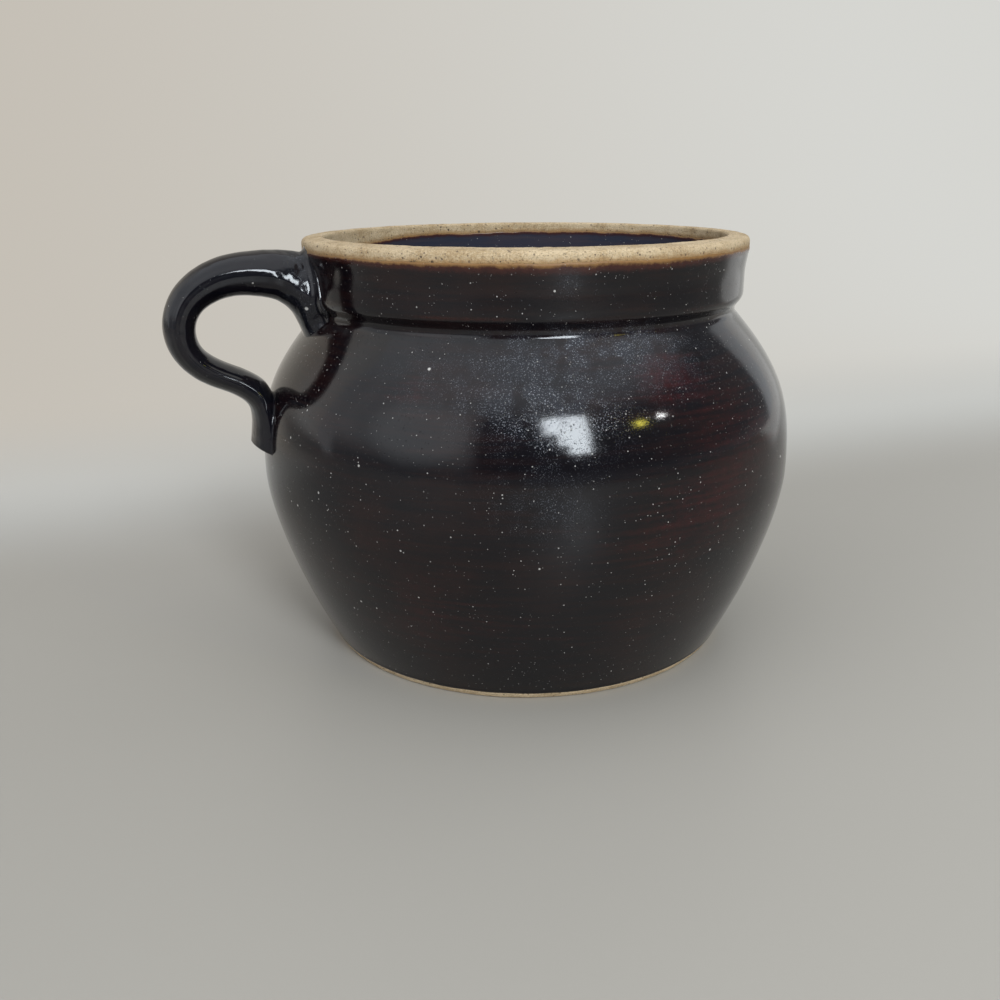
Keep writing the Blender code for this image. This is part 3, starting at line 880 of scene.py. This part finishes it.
studio = {
    "floor": (0.36, 0.335, 0.30),
    "farFloor": (0.57, 0.56, 0.53),
    # painted light on the wall's glow: darker at the left, lighter at the right, and near white aside for a
    # bright reflection in the glaze
    "shadedWallAtLeft": (0.55, 0.51, 0.45),
    "litWallAtRight": (0.67, 0.67, 0.64),
    "paintedGlowAside": (1.0, 1.0, 0.98),
    "floorRoughness": 0.45,
    "halfWidth": 2.0,
    "front": -2.0,                      # nearest edge of the floor
    "sweepStart": 0.50,                 # where the floor starts to turn up behind the pot
    "sweepRound": 0.45,
    "wallTop": 2.2,
    # where each part of the floor or wall starts, and where it is in full
    "farRange": (0.08, 0.24),           # the floor's far colour, along y
    "lowLeftRange": (-0.40, -0.75),     # a low part at the left stays as the floor is, along x
    "lowTopRange": (0.25, 0.05),        # and up to this height
    "wallRange": (0.12, 0.42),          # the wall's even colour, along y
    "wallBlend": (-0.5, 0.9),           # from its left colour to its right one, along x
    "asideRange": (0.26, 0.42),         # the painted glow aside, at the right along x - y and along y
    "asideBackRange": (0.0, 0.14),
    "asideLeftRange": (-0.6, -1.4),     # and at the left along x
    "lampDistance": 1.2,
    "lampAim": (0, 0, 0.085),
    # each lamp: turn from -Y towards +X, elevation, radiance, colour, and panes in its own plane as
    # (right, up, width, height). The main one has its lower left corner covered.
    "lamps": {"main_softbox": (-2.3, 27.0, 24, (0.87, 0.94, 1.0), [(0.0875, 0, 0.175, 0.53),
                                                                   (-0.0875, 0.1475, 0.175, 0.235),
                                                                   (-0.0375, -0.05, 0.075, 0.16)]),
              "small_white": (42.0, 28.6, 150, (1.0, 1.0, 1.0), [(0, 0, 0.028, 0.028)]),
              "small_yellow": (30.9, 27.8, 28, (1.0, 0.88, 0.12), [(0, 0, 0.08, 0.06)])},
}


def floorFinish():
    # Well behind the pot, what the camera and the gloss see is a glowing wall with painted light: darker at
    # the left, lighter at the right and near white aside, which the glaze shows as a bright band at its
    # edge
    finish = Finish(bpy.data.materials.new("floor_paint"))
    x, y, z = finish.axis("X"), finish.axis("Y"), finish.axis("Z")
    low = finish.between(x, *studio["lowLeftRange"]) * finish.between(z, *studio["lowTopRange"])
    far = finish.between(y, *studio["farRange"]) * (1 - low)
    colour = finish.blend(far, studio["floor"], studio["farFloor"])
    paint = finish.node('ShaderNodeBsdfPrincipled', {}, {
        "Base Color": colour, "Roughness": studio["floorRoughness"],
        "Normal": finish.bump(finish.cloud(900, 3, 0.6), 0.02 * mm)})
    right = finish.between(x, *studio["wallBlend"])
    wall = finish.blend(right, studio["shadedWallAtLeft"], studio["litWallAtRight"])
    aside = finish.between(x - y, *studio["asideRange"]) * finish.between(y, *studio["asideBackRange"])
    wall = finish.blend(finish.most(aside, finish.between(x, *studio["asideLeftRange"])),
                        wall, studio["paintedGlowAside"])
    path = finish.node('ShaderNodeLightPath', {}, {})
    seen = finish.most(finish.most(path, path.output("Is Glossy Ray")), path.output("Is Transmission Ray"))
    share = seen * (1 - low) * finish.most(finish.between(y, *studio["wallRange"]), aside)
    glow = finish.node('ShaderNodeEmission', {}, {"Color": wall})
    surface = finish.node('ShaderNodeMixShader', {}, {0: share, 1: paint, 2: glow})
    finish.node('ShaderNodeOutputMaterial', {}, {"Surface": surface})
    return finish.owner


def makeFloor():
    # A profile in (y, z), flat and then a quarter circle up to a wall, carried along x
    turn = np.linspace(0, math.pi / 2, 32)
    flat = np.linspace(studio["front"], studio["sweepStart"], 24)[:-1]
    y = np.concatenate([flat, studio["sweepStart"] + studio["sweepRound"] * np.sin(turn)])
    z = np.concatenate([0 * flat, studio["sweepRound"] * (1 - np.cos(turn))])
    y, z = np.append(y, y[-1]), np.append(z, studio["wallTop"])
    x = np.linspace(-studio["halfWidth"], studio["halfWidth"], 24)
    points = np.stack(np.broadcast_arrays(x[None, :], y[:, None], z[:, None]), axis=-1).reshape(-1, 3)
    near = np.arange(len(y) - 1)[:, None] * len(x) + np.arange(len(x) - 1)
    far = near + len(x)
    quads = np.stack([near, near + 1, far + 1, far], axis=-1).reshape(-1, 4)
    made = addMesh("floor", points, quads.tolist(), floorFinish())


def softbox(name, turn, elevation, radiance, colour, panes):
    # Rectangular lamps side by side in one plane that faces the pot
    turn, elevation = math.radians(turn), math.radians(elevation)
    right = Vector((math.cos(turn), math.sin(turn), 0))
    flat = math.cos(elevation)
    away = Vector((math.sin(turn) * flat, -math.cos(turn) * flat, math.sin(elevation)))
    middle = Vector(studio["lampAim"]) + away * studio["lampDistance"]
    for index, (across, up, width, height) in enumerate(panes):
        lamp = bpy.data.lights.new(f"{name}_{index}", 'AREA')
        lamp.shape = 'RECTANGLE'
        lamp.size, lamp.size_y = width, height
        lamp.energy = radiance * math.pi * width * height
        lamp.color = colour
        made = bpy.data.objects.new(f"{name}_{index}", lamp)
        made.location = middle + right * across + away.cross(right) * up
        made.rotation_euler = away.to_track_quat('Z', 'Y').to_euler()
        bpy.context.scene.collection.objects.link(made)


surroundings = {
    "colour": (0.92, 0.96, 1.0),
    "low": 0.38,                        # levels of light by direction
    "inFront": 0.10,
    "atRight": 0.22,
    "atLeft": 1.05,
    "leftCore": 0.60,                   # on top of that, towards one brighter part
    "coreWay": (-0.840, -0.339, 0.423),
    "behind": 0.95,
    "above": 1.30,
    # where each comes in and where it is in full, on a part of a direction of length 1
    "frontRange": (-0.04, 0.10),        # z
    "rightRange": (0.15, 0.90),         # x
    "leftRise": (0.02, 0.28),           # z
    "leftRange": (-0.60, -0.74),        # x, whatever the elevation
    "coreRange": (0.90, 0.98),          # likeness to coreWay
    "behindRange": (0.26, 0.32),        # y, whatever the elevation
    "aboveRange": (0.58, 0.84),         # z
}


def makeWorld():
    # Plain surroundings by direction: dim in front, pale at the left, behind the pot and overhead
    form = surroundings
    world = bpy.data.worlds.new("studio")
    bpy.context.scene.world = world
    finish = Finish(world)
    finish.place = finish.place.output("Generated")
    x, y, z = finish.axis("X"), finish.axis("Y"), finish.axis("Z")
    flat = finish.maths('SQRT', 1 - z * z, 0)           # x and y over it don't depend on the elevation
    across, ahead = finish.maths('DIVIDE', x, flat), finish.maths('DIVIDE', y, flat)
    facing = finish.node('ShaderNodeVectorMath', {"operation": 'DOT_PRODUCT'},
                         {0: finish.place, 1: form["coreWay"]}, 1)

    def shift(level, other, part, start, full):
        # One level that turns into the other along a part of the direction
        return level + (other - level) * finish.between(part, start, full)

    front = shift(form["inFront"], form["atRight"], x, *form["rightRange"])
    level = shift(form["low"], front, z, *form["frontRange"])
    left = shift(form["low"], form["atLeft"], z, *form["leftRise"])
    left = left + form["leftCore"] * finish.between(facing, *form["coreRange"])
    level = shift(level, left, across, *form["leftRange"])
    level = shift(level, form["behind"], ahead, *form["behindRange"])
    level = shift(level, form["above"], z, *form["aboveRange"])
    shade = finish.node('ShaderNodeBackground', {}, {"Color": form["colour"], "Strength": level})
    finish.node('ShaderNodeOutputWorld', {}, {"Surface": shade})


view = {
    "place": (-0.1155, -0.3172, 0.1526),
    "tilt": 71.7,                       # degrees from straight down
    "turn": -20.0,
    "lens": 36,                         # as wide as the sensor, so the focal length is one picture width
    "sensor": 36,
    "shift": -0.0254,
    "nearest": 0.01,                    # the lens sees nothing nearer
}


def makeCamera():
    lens = bpy.data.cameras.new("camera")
    lens.sensor_width = view["sensor"]
    lens.lens = view["lens"]
    lens.shift_x = view["shift"]
    lens.clip_start = view["nearest"]
    camera = bpy.data.objects.new("camera", lens)
    camera.location = view["place"]
    camera.rotation_euler = (math.radians(view["tilt"]), 0, math.radians(view["turn"]))
    bpy.context.scene.collection.objects.link(camera)
    bpy.context.scene.camera = camera


makeFloor()
for name, lamp in studio["lamps"].items():
    softbox(name, *lamp)
makeWorld()
makeCamera()
bpy.context.scene.view_settings.view_transform = 'Standard'
print("studio set")
